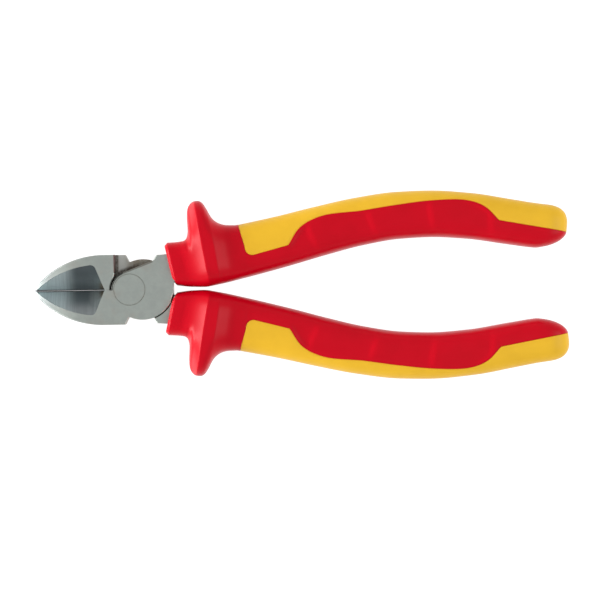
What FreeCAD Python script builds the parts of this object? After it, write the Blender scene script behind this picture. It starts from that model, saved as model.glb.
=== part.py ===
import FreeCAD, Part

import math
import os

# Diagonal cutting pliers with insulated two-colour grips, lying flat with the jaws closed.
# Millimetres. The pivot axis is Z through the origin and the head's underside is z = 0. +X runs
# from the pivot to the handle ends, and +Y is the side of the upper handle.
# Two forged levers cross in a lap joint on a flush rivet. The front lever carries the lower jaw
# and the upper handle, the back lever the upper jaw and the lower handle. Each handle has a hard
# core moulded round its tang, and a soft cover with a collar and a hand guard over the core.

Vector = FreeCAD.Vector
X_AXIS = Vector(1, 0, 0)
Z_AXIS = Vector(0, 0, 1)
ORIGIN = Vector(0, 0, 0)

# Head
HEAD_THICKNESS = 11.0
MID_Z = HEAD_THICKNESS / 2
LAP_GAP = 0.1          # air between the two faces of the lap joint
CUT_GAP = 0.03         # half the air left between the closed cutting edges, and between the heels
HEAD_ROUND = 0.4       # broken edges round the head's two flat faces
SLOT_REACH = 0.4       # edges nearer than this to the slot's middle stay sharp

# Jaw, drawn as the lower one: its outline runs from the nose along the flank to the lap shoulder
NOSE = (-31.9, -CUT_GAP)
NOSE_ROUND = (-31.6, -1.35)
NOSE_END = (-30.7, -2.5)
FLANK_MID = (-22.6, -8.4)
FLANK_END = (-9.7, -11.75)
SHOULDER_FOOT = (-4.8, -11.75)
SHOULDER_KNEE = (-4.9, -5.6)
SHOULDER_RADIUS = 6.4  # the shoulder's last stretch is concentric with the rivet
SHOULDER_FROM = 212.0  # degrees round the rivet, where that stretch starts
HEEL_X = -8.4          # end of the cutting edge
JAW_OVERLAP = 1.0      # how far the jaw and its lap plate run into each other

# Lap plate of the front lever, the upper half of the head's thickness
LAP_RADIUS = 6.1       # the plate's edge round the rivet
LAP_TANGENT = 110.0    # degrees round the rivet, where that edge runs out in a straight line
CHEEK_CORNER = (-1.5, -11.75)
CHEEK_START = (-0.2, -9.2)
CHEEK_MID = (8.3, -9.45)
CHEEK_END = (13.8, -4.55)
CHEEK_CLEARANCE = 0.35  # air between the plate's round edge and the other lever's neck
LAP_END_X = 14.55
LAP_END_LOW = -1.9
LAP_END_HIGH = 1.6

# Neck, full thickness, and the tang inside the grip
NECK_CORNER = (7.9, 9.5)
NECK_SHOULDER = (9.2, 11.45)
NECK_TOP = (12.7, 11.7)
NECK_IN_GRIP_TOP = (20.3, 14.0)
NECK_IN_GRIP_LOW = (21.3, 5.0)
NECK_LOW = (15.9, 3.7)
NECK_OVERLAP = 2.0     # how far the neck and the lap plate run into each other
TANG_START_X = 17.3
TANG_END_X = 131.3
TANG_HALF_WIDTH = 4.2
TANG_END_HALF_WIDTH = 2.6
TANG_THICKNESS = 6.0
TANG_POINTS = 9        # along each edge of the tang

# Jaw in thickness: it thins towards the nose, above and below
TAPER_TOP = ((-14.7, HEAD_THICKNESS), (-24.2, 9.55), (-32.7, 5.6))
TAPER_BOTTOM = ((-17.7, 0.0), (-25.7, 0.7), (-32.7, 2.5))

# Ground bevels. The cutting edge runs along X at this height.
EDGE_Z = 3.6
LAND_WIDTH = 0.33      # narrow second bevel along the edge
LAND_RISE = 0.14
BEVEL_SLOPE = 38.0     # degrees, of the hollow on the front face
BACK_BEVEL_WIDTH = 4.2
EDGE_FLAT = 0.4        # the edge's upright flat, above the back bevel
POCKET_TIP = (-31.6, 0.5)
POCKET_NOSE = (-31.3, -0.5)
POCKET_MID = (-23.4, -5.6)
POCKET_CORNER_START = (-13.6, -8.3)
POCKET_CORNER_MID = (-12.1, -8.15)
POCKET_CORNER_END = (-11.2, -7.0)
POCKET_HEEL = (HEEL_X, -0.3)

# Pivot rivet: a shank with a countersunk head at each end, ground flush
RIVET_HEAD_RADIUS = 5.25
RIVET_SHANK_RADIUS = 4.2
RIVET_HEAD_DEPTH = 2.4
RIVET_CLEARANCE = 0.05  # running fit in the front lever, none in the back lever
RIVET_EDGE = 0.06       # broken edge that shows as a fine ring

# Grip. A station is an X on the handle's centreline, and a section stands square to the line there.
GRIP_START = 13.4
GRIP_END = 147.4
CENTRELINE = ((13.4, 8.25), (23.8, 10.46), (36.3, 12.6), (50.3, 15.5), (63.8, 18.75), (77.3, 21.65),
              (90.8, 23.5), (101.3, 23.85), (114.3, 23.0), (127.8, 20.85), (138.0, 19.2), (147.2, 18.2))
OUTER_HALF = ((13.4, 7.5), (19.5, 6.7), (25.3, 7.7), (36.3, 8.5), (59.3, 8.3), (84.3, 8.1), (133.3, 7.55))
INNER_HALF = ((13.4, 7.2), (19.3, 9.2), (24.8, 10.2), (29.3, 10.1), (37.3, 9.6), (59.3, 8.7),
              (84.3, 8.0), (133.3, 7.6), (137.3, 7.5), (140.3, 6.8), (143.8, 5.8), (147.4, 4.7))
HALF_THICKNESS = ((13.4, 7.5), (19.3, 7.6), (32.3, 7.7), (38.8, 8.9), (59.3, 9.1), (114.3, 9.1),
                  (135.3, 8.5))
GUARD_OUT = ((19.6, 0.0), (20.4, 0.35), (21.0, 1.2), (21.5, 2.6), (22.1, 6.5), (22.7, 9.2), (23.4, 10.5),
             (25.0, 11.3), (26.6, 11.0), (27.6, 10.1), (28.65, 7.6), (29.5, 4.9), (30.85, 2.8),
             (32.2, 1.65), (33.9, 0.8), (37.3, 0.0))
GUARD_UP = ((17.8, 0.0), (20.3, 0.5), (22.0, 1.25), (23.8, 2.3), (25.3, 3.4), (29.2, 3.4), (31.0, 2.6),
            (33.5, 1.55), (36.0, 0.7), (38.8, 0.0))
GUARD_BEVEL = ((19.6, 0.0), (21.3, 1.5), (23.0, 1.8), (24.2, 1.2), (25.3, 0.0))
SECTION_POWER = 3.2    # 2 is an ellipse, more is squarer; the guard's bevel takes some off it
SECTION_POINTS = 20    # along half of a section
STATION_STEP = 1.0
END_ROUND_START = 138.8
END_ROUND_POWER = 2.8
GRIP_LAST = 147.3      # station of the small flat that closes the rounded end
CORE_LAST = 137.3
COVER_THICKNESS = 2.0
CORE_START = 16.8

# Outline of the core where it comes to the surface, drawn on the upper handle
PATCH_OUTSIDE_Y = 40.0
PATCH_FRONT_OUTER = (31.4, PATCH_OUTSIDE_Y)
PATCH_FRONT_INNER = (38.9, 13.6)
PATCH_CORNER = (39.7, 11.5)
PATCH_CORNER_END = (41.7, 10.8)
PATCH_WAIST = (53.5, 13.9)
PANEL_CREST = ((57.5, 19.8), (64.5, 23.5), (78.2, 25.1), (89.3, 26.75), (102.3, 28.2), (113.4, 28.1),
               (119.2, 25.9))
PANEL_END = (124.0, 21.1)
PATCH_END = (151.3, 16.1)

OVERSHOOT = 1.0        # how far a shape that is cut away reaches past what it cuts
TINY = 0.001
NEAR = 0.01            # slack when edges are picked by where they lie
SLOPE_STEP = 0.5       # half the span over which the centreline's slope is taken


def at(point, z=0.0):
    return Vector(point[0], point[1], z)


def polar(radius, degrees):
    angle = math.radians(degrees)
    return (radius * math.cos(angle), radius * math.sin(angle))


def outline(start, *steps):
    """Closed face on z = 0. A step is a point, or a (through, end) pair for an arc."""
    edges = []
    here = start
    for step in steps + (start,):
        if isinstance(step[0], tuple):
            edges.append(Part.Arc(at(here), at(step[0]), at(step[1])).toShape())
            here = step[1]
        elif step != here:
            edges.append(Part.LineSegment(at(here), at(step)).toShape())
            here = step
    return Part.Face(Part.Wire(edges))


def prism(face, low, high):
    solid = face.extrude(Vector(0, 0, high - low))
    solid.translate(Vector(0, 0, low))
    return solid


def across(face, half_width):
    """Turns a face drawn in X and Z, as x and y, upright and makes it a prism along Y."""
    solid = face.extrude(Vector(0, 0, 2 * half_width))
    solid.rotate(ORIGIN, X_AXIS, 90)
    solid.translate(Vector(0, half_width, 0))
    return solid


def turned(shape):
    """Turned over about the tool's long axis, as the back lever is to the front one."""
    copy = shape.copy()
    copy.rotate(Vector(0, 0, MID_Z), X_AXIS, 180)
    return copy


def mirrored(shape):
    """The same thing on the other side of the cutting line."""
    return shape.mirror(ORIGIN, Vector(0, 1, 0))


def smooth(knots, x):
    """Smooth curve through the knots, with no overshoot between them."""
    xs = [k[0] for k in knots]
    ys = [k[1] for k in knots]
    if x <= xs[0]:
        return ys[0]
    if x >= xs[-1]:
        return ys[-1]
    steps = [b - a for a, b in zip(xs, xs[1:])]
    rises = [(ys[i + 1] - ys[i]) / steps[i] for i in range(len(steps))]
    tangents = [rises[0]]
    for i in range(1, len(rises)):
        before, after = rises[i - 1], rises[i]
        w1 = 2 * steps[i] + steps[i - 1]
        w2 = steps[i] + 2 * steps[i - 1]
        flat = before * after <= 0
        tangents.append(0.0 if flat else (w1 + w2) / (w1 / before + w2 / after))
    tangents.append(rises[-1])
    i = max(n for n, knot in enumerate(xs[:-1]) if knot <= x)
    u = (x - xs[i]) / steps[i]
    from_start = (1 + 2 * u) * (1 - u) ** 2 * ys[i] + u * (1 - u) ** 2 * steps[i] * tangents[i]
    from_end = u ** 2 * (3 - 2 * u) * ys[i + 1] + u ** 2 * (u - 1) * steps[i] * tangents[i + 1]
    return from_start + from_end


def rising(knots, x):
    """Like smooth, but zero outside the knots."""
    return smooth(knots, x) if knots[0][0] < x < knots[-1][0] else 0.0


def station_frame(x):
    """Point on the centreline, and the outward direction square to it in plan."""
    inside = min(max(x, CENTRELINE[0][0] + SLOPE_STEP), CENTRELINE[-1][0] - SLOPE_STEP)
    rise = smooth(CENTRELINE, inside + SLOPE_STEP) - smooth(CENTRELINE, inside - SLOPE_STEP)
    slope = rise / (2 * SLOPE_STEP)
    length = math.hypot(1.0, slope)
    return Vector(x, smooth(CENTRELINE, x), MID_Z), Vector(-slope / length, 1.0 / length, 0)


def end_rounding(x):
    """1 along the handle, falling to 0 at its end."""
    u = max(0.0, (x - END_ROUND_START) / (GRIP_END - END_ROUND_START))
    return (1 - u ** END_ROUND_POWER) ** (1 / END_ROUND_POWER)


def section(x, inset, with_guard):
    """Upper half of the handle's section at a station, from its outer to its inner edge."""
    centre, outward = station_frame(x)
    guard_out = rising(GUARD_OUT, x) if with_guard else 0.0
    guard_up = rising(GUARD_UP, x) if with_guard else 0.0
    bevel = rising(GUARD_BEVEL, x) if with_guard else 0.0
    shrink = end_rounding(x)
    outer = (smooth(OUTER_HALF, x) + guard_out) * shrink - inset
    inner = smooth(INNER_HALF, x) * shrink - inset
    height = (smooth(HALF_THICKNESS, x) + guard_up) * shrink - inset
    points = []
    for i in range(SECTION_POINTS + 1):
        angle = math.pi * i / SECTION_POINTS
        c, s = math.cos(angle), math.sin(angle)
        power = SECTION_POWER - bevel * max(c, 0.0)
        reach = (outer if c > 0 else -inner) * abs(c) ** (2 / power)
        rise = height * abs(s) ** (2 / power) if 0 < i < SECTION_POINTS else 0.0
        points.append(centre + outward * reach + Z_AXIS * rise)
    return points


def stations(first, last):
    """Even stations along the handle, closing up round its end as the points of an arc do."""
    count = round((END_ROUND_START - first) / STATION_STEP)
    found = [first + (END_ROUND_START - first) * i / count for i in range(count + 1)]
    length = GRIP_END - END_ROUND_START
    count = round(math.pi / 2 * length / STATION_STEP)
    ends = [END_ROUND_START + length * math.sin(math.pi / 2 * i / count) for i in range(1, count)]
    return found + [x for x in ends if x < last]


def spline_sheet(rows):
    """Smooth sheet that follows the rows of points and ends on the outermost ones."""
    knots = [[float(i) for i in range(count - 2)] for count in (len(rows), len(rows[0]))]
    repeats = [[4] + [1] * (len(k) - 2) + [4] for k in knots]
    surface = Part.BSplineSurface()
    surface.buildFromPolesMultsKnots(rows, *repeats, *knots, False, False, 3, 3)
    return surface.toShape()


def handle_body(first, last, inset, with_guard):
    """Closed solid of the handle's outer shape, inset by a distance."""
    upper = [section(x, inset, with_guard) for x in stations(first, last)]
    lower = [[Vector(p.x, p.y, HEAD_THICKNESS - p.z) for p in reversed(row)] for row in upper]
    sheets = [spline_sheet(upper), spline_sheet(lower)]
    caps = []
    for row in (upper[0], upper[-1]):
        edges = [e for sheet in sheets for e in sheet.Edges if on_section(e, row)]
        caps.append(Part.Face(Part.Wire(Part.__sortEdges__(edges))))
    shell = Part.Shell(sheets + caps)
    shell.sewShape()
    solid = Part.Solid(shell)
    if solid.Volume < 0:
        solid.reverse()
    return solid


def on_section(edge, row):
    """True for the edge that runs across the handle at the row's station."""
    along = (row[0] + row[-1]) * 0.5
    outward = (row[0] - row[-1]).normalize()
    square = outward.cross(Z_AXIS)
    middle = edge.valueAt((edge.FirstParameter + edge.LastParameter) / 2)
    ends = [v.Point for v in edge.Vertexes]
    return all(abs((p - along).dot(square)) < NEAR for p in ends + [middle])


def patch_prism():
    """Everything, in plan, outside the line where the cover gives way to the core."""
    crest = Part.BSplineCurve()
    crest.interpolate([at(p) for p in (PATCH_WAIST,) + PANEL_CREST + (PANEL_END,)])
    edges = [
        Part.LineSegment(at(PATCH_FRONT_OUTER), at(PATCH_FRONT_INNER)).toShape(),
        Part.Arc(at(PATCH_FRONT_INNER), at(PATCH_CORNER), at(PATCH_CORNER_END)).toShape(),
        Part.LineSegment(at(PATCH_CORNER_END), at(PATCH_WAIST)).toShape(),
        crest.toShape(),
        Part.LineSegment(at(PANEL_END), at(PATCH_END)).toShape(),
    ]
    far_corner = (PATCH_END[0], PATCH_OUTSIDE_Y)
    edges.append(Part.LineSegment(at(PATCH_END), at(far_corner)).toShape())
    edges.append(Part.LineSegment(at(far_corner), at(PATCH_FRONT_OUTER)).toShape())
    return prism(Part.Face(Part.Wire(edges)), -HEAD_THICKNESS, 2 * HEAD_THICKNESS)


def tang_edge(side):
    """Points along one edge of the tang, which narrows towards its end."""
    points = []
    for i in range(TANG_POINTS):
        share = i / (TANG_POINTS - 1)
        x = TANG_START_X + share * (TANG_END_X - TANG_START_X)
        half = TANG_HALF_WIDTH + share * (TANG_END_HALF_WIDTH - TANG_HALF_WIDTH)
        centre, outward = station_frame(x)
        points.append(Vector(centre.x, centre.y, 0) + outward * (side * half))
    return points


def tang():
    outer, inner = tang_edge(1), tang_edge(-1)
    curves = []
    for points in (outer, inner):
        curve = Part.BSplineCurve()
        curve.interpolate(points)
        curves.append(curve.toShape())
    beyond, _ = station_frame(TANG_END_X + TANG_END_HALF_WIDTH)
    tip = Part.Arc(outer[-1], Vector(beyond.x, beyond.y, 0), inner[-1]).toShape()
    start = Part.LineSegment(inner[0], outer[0]).toShape()
    face = Part.Face(Part.Wire([curves[0], tip, curves[1], start]))
    return prism(face, MID_Z - TANG_THICKNESS / 2, MID_Z + TANG_THICKNESS / 2)


def jaw(upper):
    """One jaw up to its lap shoulder, the lower one or its mirror image."""
    shoulder_start = polar(SHOULDER_RADIUS, SHOULDER_FROM)
    shoulder_middle = polar(SHOULDER_RADIUS, (SHOULDER_FROM + 180) / 2)
    shoulder_end = (-math.sqrt(SHOULDER_RADIUS ** 2 - CUT_GAP ** 2), -CUT_GAP)
    face = outline(
        NOSE,
        (NOSE_ROUND, NOSE_END),
        (FLANK_MID, FLANK_END),
        SHOULDER_FOOT,
        SHOULDER_KNEE,
        shoulder_start,
        (shoulder_middle, shoulder_end),
    )
    if upper:
        face.rotate(ORIGIN, X_AXIS, 180)
    solid = prism(face, 0, HEAD_THICKNESS)
    return solid.cut(taper_waste(TAPER_TOP, 1)).cut(taper_waste(TAPER_BOTTOM, -1))


def taper_waste(taper, side):
    """What the taper of the jaw's thickness takes off above (side 1) or below it (side -1)."""
    start, middle, end = taper
    outside_z = start[1] + side * OVERSHOOT
    face = outline(start, (middle, end), (end[0], outside_z), (start[0], outside_z))
    return across(face, 2 * abs(FLANK_END[1]))


def lap_plate():
    """Front half of the lap joint, from the jaw to the neck."""
    left = (-math.sqrt(LAP_RADIUS ** 2 - CUT_GAP ** 2), -CUT_GAP)
    inside_neck = (NECK_CORNER[0] + NECK_OVERLAP, NECK_LOW[1])
    face = outline(
        left,
        (polar(LAP_RADIUS, (180 + LAP_TANGENT) / 2), polar(LAP_RADIUS, LAP_TANGENT)),
        NECK_CORNER,
        inside_neck,
        (LAP_END_X, LAP_END_HIGH),
        (LAP_END_X, LAP_END_LOW),
        CHEEK_END,
        (CHEEK_MID, CHEEK_START),
        CHEEK_CORNER,
        (SHOULDER_FOOT[0] - JAW_OVERLAP, CHEEK_CORNER[1]),
        (HEEL_X, -CUT_GAP),
    )
    return prism(face, MID_Z + LAP_GAP / 2, HEAD_THICKNESS)


def neck():
    """Full-thickness root of the upper handle, clear of the other lever's lap plate."""
    face = outline(
        NECK_CORNER,
        NECK_SHOULDER,
        NECK_TOP,
        NECK_IN_GRIP_TOP,
        NECK_IN_GRIP_LOW,
        NECK_LOW,
        (LAP_END_X, LAP_END_HIGH),
        (NECK_CORNER[0] + NECK_OVERLAP, LAP_END_HIGH),
    )
    cheek = Part.Arc(at(CHEEK_START), at(CHEEK_MID), at(CHEEK_END)).toShape().Curve
    centre = Vector(cheek.Center.x, -cheek.Center.y, -OVERSHOOT)
    radius = cheek.Radius + CHEEK_CLEARANCE
    recess = Part.makeCylinder(radius, OVERSHOOT + MID_Z + LAP_GAP / 2, centre)
    return prism(face, 0, HEAD_THICKNESS).cut(recess)


def rivet_shape(clearance):
    """The rivet, or with a clearance the countersunk hole that it turns in."""
    head = RIVET_HEAD_RADIUS + clearance
    shank = RIVET_SHANK_RADIUS + clearance
    lower = Part.makeCone(head, shank, RIVET_HEAD_DEPTH)
    upper = Part.makeCone(shank, head, RIVET_HEAD_DEPTH, Vector(0, 0, HEAD_THICKNESS - RIVET_HEAD_DEPTH))
    middle = Part.makeCylinder(shank, HEAD_THICKNESS)
    return middle.fuse([lower, upper]).removeSplitter()


def along_edge(profile):
    """Prism that runs the length of the cutting edge, from its profile in Y and Z."""
    start_x = NOSE[0] - OVERSHOOT
    corners = [Vector(start_x, y, z) for y, z in profile + profile[:1]]
    return Part.Face(Part.makePolygon(corners)).extrude(X_AXIS * (HEEL_X - start_x))


def pocket():
    """Hollow ground into the lower jaw's front face, down to the cutting edge."""
    face = outline(
        POCKET_TIP,
        POCKET_NOSE,
        (POCKET_MID, POCKET_CORNER_START),
        (POCKET_CORNER_MID, POCKET_CORNER_END),
        POCKET_HEEL,
        (HEEL_X, POCKET_TIP[1]),
    )
    land_y = -CUT_GAP - LAND_WIDTH
    land_z = EDGE_Z + LAND_RISE
    wide = 2 * abs(FLANK_END[1])
    top_z = land_z + math.tan(math.radians(BEVEL_SLOPE)) * wide
    profile = [
        (OVERSHOOT, EDGE_Z),
        (-CUT_GAP, EDGE_Z),
        (land_y, land_z),
        (land_y - wide, top_z),
        (OVERSHOOT, top_z),
    ]
    return along_edge(profile).common(prism(face, 0, 2 * HEAD_THICKNESS))


def back_bevel():
    """Plain bevel on the lower jaw's back face, up to just under the cutting edge."""
    return along_edge([
        (OVERSHOOT, EDGE_Z - EDGE_FLAT),
        (-CUT_GAP, EDGE_Z - EDGE_FLAT),
        (-BACK_BEVEL_WIDTH, 0),
        (-BACK_BEVEL_WIDTH, -OVERSHOOT),
        (OVERSHOOT, -OVERSHOOT),
    ])


def lever_blank(is_back):
    """A forging before its hole and bevels. The back one's lap and handle are turned over."""
    rest = lap_plate().fuse([neck(), tang()])
    return jaw(is_back).fuse(turned(rest) if is_back else rest).removeSplitter()


def with_broken_edges(lever):
    """Rounds the head's outer edges, where its two flat faces and its tapered nose end."""
    picked = []
    for edge in lever.Edges:
        box = edge.BoundBox
        on_face = abs(box.ZMin) < TINY or abs(box.ZMax - HEAD_THICKNESS) < TINY
        lying = box.ZLength < MID_Z and edge.Length > 2 * HEAD_ROUND
        in_head = box.XMax < LAP_END_X + TINY
        square_across = box.XLength < TINY and box.YLength > MID_Z
        beside_slot = abs(box.Center.y) < SLOT_REACH
        if on_face and lying and in_head and not square_across and not beside_slot:
            picked.append(edge)
    return lever.makeFillet(HEAD_ROUND, picked)


def front_lever():
    blank = with_broken_edges(lever_blank(False))
    return blank.cut(rivet_shape(RIVET_CLEARANCE)).cut(pocket()).cut(back_bevel())


def back_lever():
    blank = with_broken_edges(lever_blank(True))
    return blank.cut(rivet_shape(0)).cut(mirrored(pocket())).cut(mirrored(back_bevel()))


def rivet():
    solid = rivet_shape(0)
    rims = [e for e in solid.Edges if abs(e.BoundBox.XLength - 2 * RIVET_HEAD_RADIUS) < NEAR]
    return solid.makeChamfer(RIVET_EDGE, rims)


def grip(tang_solid):
    """Core and cover of the upper handle, both hollowed for the lever's neck and tang."""
    envelope = handle_body(GRIP_START, GRIP_LAST, 0.0, True)
    inner_layer = handle_body(CORE_START, CORE_LAST, COVER_THICKNESS, False)
    showing = envelope.common(patch_prism())
    core = inner_layer.fuse(showing)
    cover = envelope.cut(core)
    return core.cut(tang_solid), cover.cut(tang_solid)


def export(name, shape):
    solids = shape.Solids
    single = solids[0] if len(solids) == 1 else shape
    single.exportStep(os.path.join("parts", name + ".step"))
    box = single.BoundBox
    size = " x ".join("%.1f" % v for v in (box.XLength, box.YLength, box.ZLength))
    print(name, "solids", len(solids), "valid", single.isValid(), "volume %.0f" % single.Volume, size)


def main():
    os.makedirs("parts", exist_ok=True)
    inside_grip = neck().fuse(tang())
    core, cover = grip(inside_grip)
    export("front_lever", front_lever())
    export("back_lever", back_lever())
    export("pivot_rivet", rivet())
    export("upper_grip_core", core)
    export("upper_grip_cover", cover)
    export("lower_grip_core", turned(core))
    export("lower_grip_cover", turned(cover))


main()
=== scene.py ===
import math

import bmesh
import bpy
import numpy as np
from mathutils import Matrix, Vector
from mathutils.geometry import delaunay_2d_cdt
from mathutils.kdtree import KDTree


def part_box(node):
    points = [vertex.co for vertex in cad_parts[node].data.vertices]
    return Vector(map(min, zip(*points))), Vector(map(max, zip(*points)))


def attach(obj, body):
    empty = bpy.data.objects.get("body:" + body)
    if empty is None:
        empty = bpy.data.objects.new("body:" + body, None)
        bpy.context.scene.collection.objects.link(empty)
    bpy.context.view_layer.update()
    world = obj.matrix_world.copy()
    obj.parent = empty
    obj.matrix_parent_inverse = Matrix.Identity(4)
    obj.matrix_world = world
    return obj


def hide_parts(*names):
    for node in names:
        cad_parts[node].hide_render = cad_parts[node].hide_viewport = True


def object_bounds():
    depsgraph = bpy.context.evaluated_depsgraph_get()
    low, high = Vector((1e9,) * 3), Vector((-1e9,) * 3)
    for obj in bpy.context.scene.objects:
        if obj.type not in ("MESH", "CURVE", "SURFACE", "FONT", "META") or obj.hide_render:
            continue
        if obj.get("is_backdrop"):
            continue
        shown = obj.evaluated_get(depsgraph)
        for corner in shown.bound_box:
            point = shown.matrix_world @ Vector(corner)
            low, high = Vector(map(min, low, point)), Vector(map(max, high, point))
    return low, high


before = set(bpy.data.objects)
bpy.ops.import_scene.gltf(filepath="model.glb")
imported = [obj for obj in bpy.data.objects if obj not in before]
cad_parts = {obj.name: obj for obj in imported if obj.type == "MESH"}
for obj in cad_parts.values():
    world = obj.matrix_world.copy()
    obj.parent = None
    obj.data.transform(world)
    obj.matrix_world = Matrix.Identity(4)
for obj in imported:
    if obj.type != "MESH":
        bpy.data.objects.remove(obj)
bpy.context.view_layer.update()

# The looks of the diagonal cutting pliers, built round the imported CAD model.
# The two levers and the rivet are the CAD's own meshes with a steel material. Each grip's yellow
# core and red cover are built here as closed meshes. Lengths are millimetres in the shape and mesh
# functions, and metres in the materials and the stage.
MM = 0.001

# Places that come from the frame
RIVET_LOW, RIVET_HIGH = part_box("pivot_rivet")
COVER_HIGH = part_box("upper_grip_cover")[1]
CORE_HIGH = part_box("upper_grip_core")[1]
HEAD_THICKNESS = (RIVET_HIGH.z - RIVET_LOW.z) / MM
MID_Z = HEAD_THICKNESS / 2
RING_RADIUS = (RIVET_HIGH.x - RIVET_LOW.x) / 2
GRIP_START = 13.4
END_CLEARANCE = 0.12    # keeps the finer rounded end inside the CAD one
GRIP_END = max(COVER_HIGH.x, CORE_HIGH.x) / MM - END_CLEARANCE

# Grip, by stations: a station is an X on the handle's centreline, and sections stand square to it
CENTRELINE = ((13.4, 8.25), (23.8, 10.46), (36.3, 12.6), (50.3, 15.5), (63.8, 18.75),
              (77.3, 21.65), (90.8, 23.5), (101.3, 23.85), (114.3, 23.0), (127.8, 20.85),
              (138.0, 19.2), (147.2, 18.2))
OUTER_HALF = ((13.4, 7.5), (19.5, 6.7), (25.3, 7.7), (36.3, 8.5), (59.3, 8.3), (84.3, 8.1),
              (133.3, 7.55))
INNER_HALF = ((13.4, 7.2), (19.3, 9.2), (24.8, 10.2), (29.3, 10.1), (37.3, 9.6), (59.3, 8.7),
              (84.3, 8.0), (133.3, 7.6), (137.3, 7.5), (140.3, 6.8), (143.8, 5.8), (147.4, 4.7))
HALF_THICKNESS = ((13.4, 7.5), (19.3, 7.6), (32.3, 7.7), (38.8, 8.9), (59.3, 9.1), (114.3, 9.1),
                  (135.3, 8.5))
GUARD_OUT = ((19.6, 0.0), (20.4, 0.35), (21.0, 1.2), (21.5, 2.6), (22.1, 6.5), (22.7, 9.2),
             (23.4, 10.5), (25.0, 11.3), (26.6, 11.0), (27.6, 10.1), (28.65, 7.6), (29.5, 4.9),
             (30.85, 2.8), (32.2, 1.65), (33.9, 0.8), (37.3, 0.0))
CREST_HEIGHT = 3.4
CREST_FRONT = 25.3
CREST_REAR = 29.2
CREST_FOOT_FRONT = 17.8
CREST_FOOT_REAR = 38.8
CREST_FRONT_POWER = 1.7  # above 1, the slope up to the crest is hollow
CREST_REAR_POWER = 1.3
GUARD_BEVEL = ((19.6, 0.0), (21.3, 1.5), (23.0, 1.8), (24.2, 1.2), (25.3, 0.0))
SECTION_POWER = 3.2
END_ROUND_START = 138.8
END_ROUND_POWER = 2.8
SKIN_INSET = 0.05       # keeps the finer surface inside the CAD one

# Line where the cover gives way to the core, in plan
PATCH_FRONT_OUTER = (31.4, 40.0)
PATCH_FRONT_INNER = (38.9, 13.6)
PATCH_CORNER = (39.7, 11.5)
PATCH_CORNER_END = (41.7, 10.8)
PATCH_WAIST = (53.5, 13.9)
PANEL_CREST = ((57.5, 19.8), (64.5, 23.5), (78.2, 25.1), (89.3, 26.75), (102.3, 28.2),
               (113.4, 28.1), (119.2, 25.9))
PANEL_END = (124.0, 21.1)
PATCH_END = (151.3, 16.1)

# Detail pressed into the skin. Shares are of the turn from the outer to the inner edge.
PAD_COUNT = 4
PAD_FIRST = 58.8
PAD_PITCH = 20.2
PAD_RISE = 2.6          # length of the short rise at the start of a pad
PAD_REST = 1.0          # length of the lowest stretch at its end
PAD_DEPTH = 0.45
PAD_BOW = 2.6           # how far a pad's start bends back towards the inner edge
PAD_BOW_SHARES = (0.3, 0.8)
PAD_OUTER_SHARES = (0.18, 0.26)
PAD_INNER_SHARES = (0.56, 0.80)
PAD_FRONT_FADE = (41.3, 55.3)
PAD_REAR_FADE = (3.0, 14.0)  # past the start of the last pad
PAD_EDGE_FADE = 1.6     # the pads rise to the plain skin over this distance from the core
CHAMFER = 0.9           # round the collar's front
SEAM_DEPTH = 0.06       # parting seam along the outer and the inner edge
SEAM_END_FADE = 2.0

# Mesh
UNROLLED_WIDTH = 26.0   # half the girth, in the plane where the surface is cut up
TO_WIDTH = UNROLLED_WIDTH / math.pi
GRID_STEP = 0.6
GUARD_SPANS = ((14.6, 19.9, 0.3), (20.0, 23.2, 0.15), (23.3, 40.0, 0.3))  # from, to and step
GUARD_MESH_END = 40.0
CREST_MARGIN = 0.16     # stations nearer to the crest's two edges make way for them
HIDDEN_STEP = 2.5
LINE_STEP = 0.4
LINE_SAMPLE = 0.04
LINE_ROUNDING = 12      # samples each side over which the line's corners are rounded
RIM_RADIUS = 0.18
RIM_ROWS = (0.04, 0.1, 0.18)
RIM_MARGIN = 0.2        # between the last row along the rim and the grid
SEAM_ROWS = (0.15, 0.35)
SEAM_MARGIN = 0.8       # between the seam and the first even column
SEAM_GAP = 0.3          # between the line's end and the next point on the seam
HIDDEN_SEAM_GAP = 1.0
HALF_GAP = 0.02
COVER_DEPTH = 1.9
CORE_DEPTH = 1.95
CORE_SINK = 0.05
COVER_SOLID_END = 16.8
FOOT_STEPS = 12         # enough to settle on the station that faces a plan point
MERGE_DISTANCE = 0.004
SLIVER_LENGTH = 0.002
TINY = 1e-6
NEAR = 0.01


# ---------------------------------------------------------------- shape of the grip

def smooth(knots, x):
    """Smooth curve through the knots at every x, with no overshoot between them."""
    xs, ys = np.array(knots, float).T
    steps = np.diff(xs)
    rises = np.diff(ys) / steps
    w1 = 2 * steps[1:] + steps[:-1]
    w2 = steps[1:] + 2 * steps[:-1]
    same_way = rises[:-1] * rises[1:] > 0
    before = np.where(same_way, rises[:-1], 1.0)
    after = np.where(same_way, rises[1:], 1.0)
    inner = np.where(same_way, (w1 + w2) / (w1 / before + w2 / after), 0.0)
    tangents = np.concatenate(([rises[0]], inner, [rises[-1]]))
    x = np.clip(x, xs[0], xs[-1])
    i = np.clip(np.searchsorted(xs, x, side="right") - 1, 0, len(steps) - 1)
    u = (x - xs[i]) / steps[i]
    from_start = (1 + 2 * u) * (1 - u) ** 2 * ys[i] + u * (1 - u) ** 2 * steps[i] * tangents[i]
    from_end = u ** 2 * (3 - 2 * u) * ys[i + 1] + u ** 2 * (u - 1) * steps[i] * tangents[i + 1]
    return from_start + from_end


def step_up(low, high, x):
    """0 below low, 1 above high, smooth between."""
    u = np.clip((x - low) / (high - low), 0.0, 1.0)
    return u * u * (3 - 2 * u)


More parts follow.
